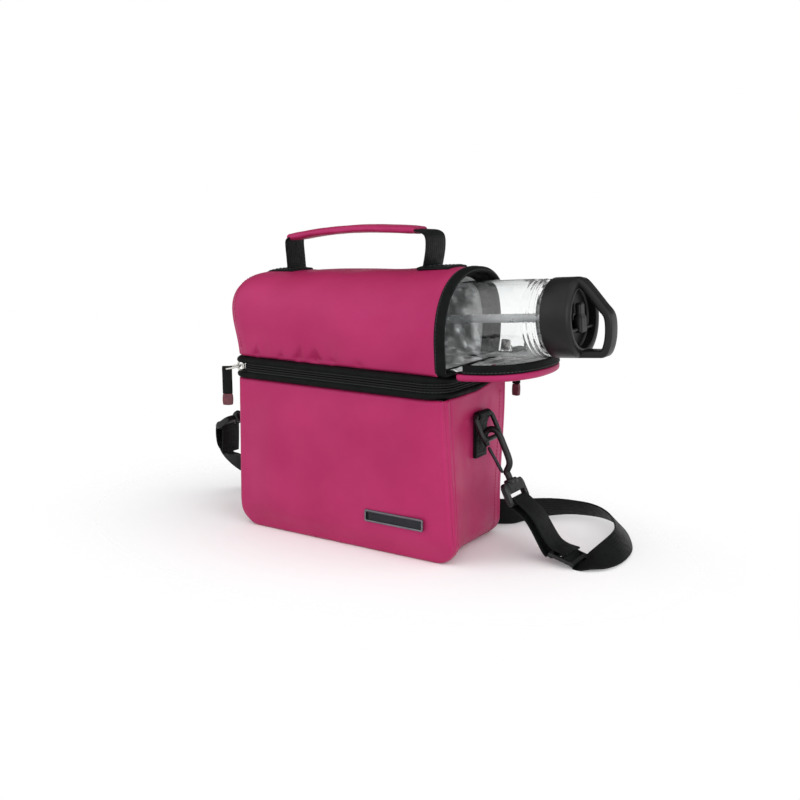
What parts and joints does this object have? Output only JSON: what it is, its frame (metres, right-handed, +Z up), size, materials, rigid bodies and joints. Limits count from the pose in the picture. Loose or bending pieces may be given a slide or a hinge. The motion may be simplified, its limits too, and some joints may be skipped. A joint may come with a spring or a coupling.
{
  "type": "insulated lunch bag",
  "caption": "Soft insulated lunch bag with a domed top, zipped lower compartment, carry handle, clip-on shoulder strap and a clear flip-spout bottle lying in its open end.",
  "frame": {"origin": "middle of the underside, on the surface that the bag stands on", "axes": "+Z up, +X along the bag towards the open end with the bottle, -Y towards the front with the name plate"},
  "size_m": [0.4439, 0.2122, 0.2833],
  "materials": {
    "magenta_fabric": "glossy coated polyester",
    "zip_tape": "black woven zip tape",
    "webbing": "black nylon webbing",
    "foil": "wrinkled silver foil laminate",
    "board": "grey foam board",
    "moulded": "black acetal",
    "nickel": "nickel plated zinc",
    "gunmetal": "satin gunmetal",
    "puller_tip": "plum moulded tip",
    "clear_bottle": "clear copolyester",
    "lid_plastic": "black polypropylene",
    "silicone": "grey silicone",
    "straw": "frosted polyethylene"
  },
  "bodies": {
    "lower": {"lower_front_panel": "magenta_fabric", "lower_back_panel": "magenta_fabric", "lower_gusset": "magenta_fabric", "lower_lining": "foil", "base_board": "board", "lower_zip_tape": "zip_tape", "back_hinge_lower": "magenta_fabric", "name_plate": "gunmetal", "ring_tab_right": "webbing", "ring_tab_left": "webbing", "shoulder_strap": "webbing", "strap_slider": "moulded", "strap_eye_right": "moulded", "strap_eye_left": "moulded"},
    "upper": {"upper_zip_tape": "zip_tape", "back_hinge_upper": "magenta_fabric", "divider_panel": "board", "lid_lining": "foil", "dome_panel": "magenta_fabric", "dome_left_end": "magenta_fabric", "upper_lining": "foil", "opening_zip_tape": "zip_tape", "handle_foot_left": "webbing", "handle_foot_right": "webbing"},
    "end_flap": {"flap_panel": "magenta_fabric", "flap_hinge_strip": "magenta_fabric", "flap_lining": "foil", "flap_zip_tape": "zip_tape"},
    "handle": {"handle_webbing": "webbing", "handle_sleeve": "magenta_fabric"},
    "main_zip_slider": {"main_slider": "nickel"},
    "main_puller": {"main_puller_link": "nickel", "main_puller_tab": "zip_tape", "main_puller_tip": "puller_tip"},
    "flap_zip_slider": {"flap_slider": "nickel"},
    "flap_puller": {"flap_puller_link": "nickel", "flap_puller_tab": "zip_tape", "flap_puller_tip": "puller_tip"},
    "right_ring": {"ring_right": "moulded"},
    "right_hook": {"hook_right": "moulded"},
    "right_gate": {"gate_right": "nickel"},
    "left_ring": {"ring_left": "moulded"},
    "left_hook": {"hook_left": "moulded"},
    "left_gate": {"gate_left": "nickel"},
    "bottle": {"bottle_body": "clear_bottle"},
    "lid": {"bottle_lid": "lid_plastic", "lid_seal": "silicone", "straw": "straw", "spout_pin": "lid_plastic"},
    "mouthpiece": {"spout": "lid_plastic"}
  },
  "joints": [
    {"name": "upper_hinge", "type": "hinge", "parent": "lower", "child": "upper", "pos_m": [0, 0.0583, 0.153], "axis": [-1, 0, 0], "range_deg": [0, 100]},
    {"name": "flap_hinge", "type": "hinge", "parent": "upper", "child": "end_flap", "pos_m": [0.1118, 0, 0.1665], "axis": [0, 1, 0], "range_deg": [0, 45]},
    {"name": "handle_tilt", "type": "hinge", "parent": "upper", "child": "handle", "pos_m": [0, 0, 0.24422], "axis": [0.9985, 0, 0.0555], "range_deg": [-45, 45], "deforming": ["handle_webbing"]},
    {"name": "main_slider_run", "type": "hinge", "parent": "lower", "child": "main_zip_slider", "pos_m": [-0.09, -0.038, 0.153], "axis": [0, 0, 1], "range_deg": [-33, 57]},
    {"name": "main_puller_swing", "type": "hinge", "parent": "main_zip_slider", "child": "main_puller", "pos_m": [-0.11155, -0.052, 0.153], "axis": [-0.5446, 0.8387, 0], "range_deg": [0, 70]},
    {"name": "flap_slider_run", "type": "slide", "parent": "upper", "child": "flap_zip_slider", "axis": [0, 0.0859, 0.9963], "range_m": [-0.004, 0.01]},
    {"name": "flap_puller_swing", "type": "hinge", "parent": "flap_zip_slider", "child": "flap_puller", "pos_m": [0.11725, 0.0623, 0.175], "axis": [1, 0, 0], "range_deg": [0, 100]},
    {"name": "right_ring_swing", "type": "hinge", "parent": "lower", "child": "right_ring", "pos_m": [0.1141, 0.006, 0.122], "axis": [0, 1, 0], "range_deg": [-5, 5]},
    {"name": "left_ring_swing", "type": "hinge", "parent": "lower", "child": "left_ring", "pos_m": [-0.1141, 0.006, 0.122], "axis": [0, 1, 0], "range_deg": [-5, 5]},
    {"name": "right_hook_swivel", "type": "hinge", "parent": "lower", "child": "right_hook", "pos_m": [0.1141, 0.006, 0.122], "axis": [-0.454, 0, 0.891], "range_deg": [-15, 15]},
    {"name": "left_hook_swivel", "type": "hinge", "parent": "lower", "child": "left_hook", "pos_m": [-0.1141, 0.006, 0.122], "axis": [0.8387, 0, 0.5446], "range_deg": [-15, 15]},
    {"name": "right_gate_hinge", "type": "hinge", "parent": "right_hook", "child": "right_gate", "pos_m": [0.13474, 0.006, 0.07202], "axis": [0, 1, 0], "range_deg": [0, 18], "stiffness_Nm_per_rad": 0.02},
    {"name": "left_gate_hinge", "type": "hinge", "parent": "left_hook", "child": "left_gate", "pos_m": [-0.16165, 0.006, 0.09625], "axis": [0, 1, 0], "range_deg": [0, 18], "stiffness_Nm_per_rad": 0.02},
    {"name": "bottle_slide", "type": "slide", "parent": "upper", "child": "bottle", "axis": [0.9969, 0, 0.0785], "range_m": [0, 0.15]},
    {"name": "lid_turn", "type": "hinge", "parent": "bottle", "child": "lid", "pos_m": [-0.003, 0, 0.1974], "axis": [0.9969, 0, 0.0785], "continuous": true},
    {"name": "spout_flip", "type": "hinge", "parent": "lid", "child": "mouthpiece", "pos_m": [0.20606, 0, 0.20483], "axis": [0, 1, 0], "range_deg": [0, 90]}
  ]
}
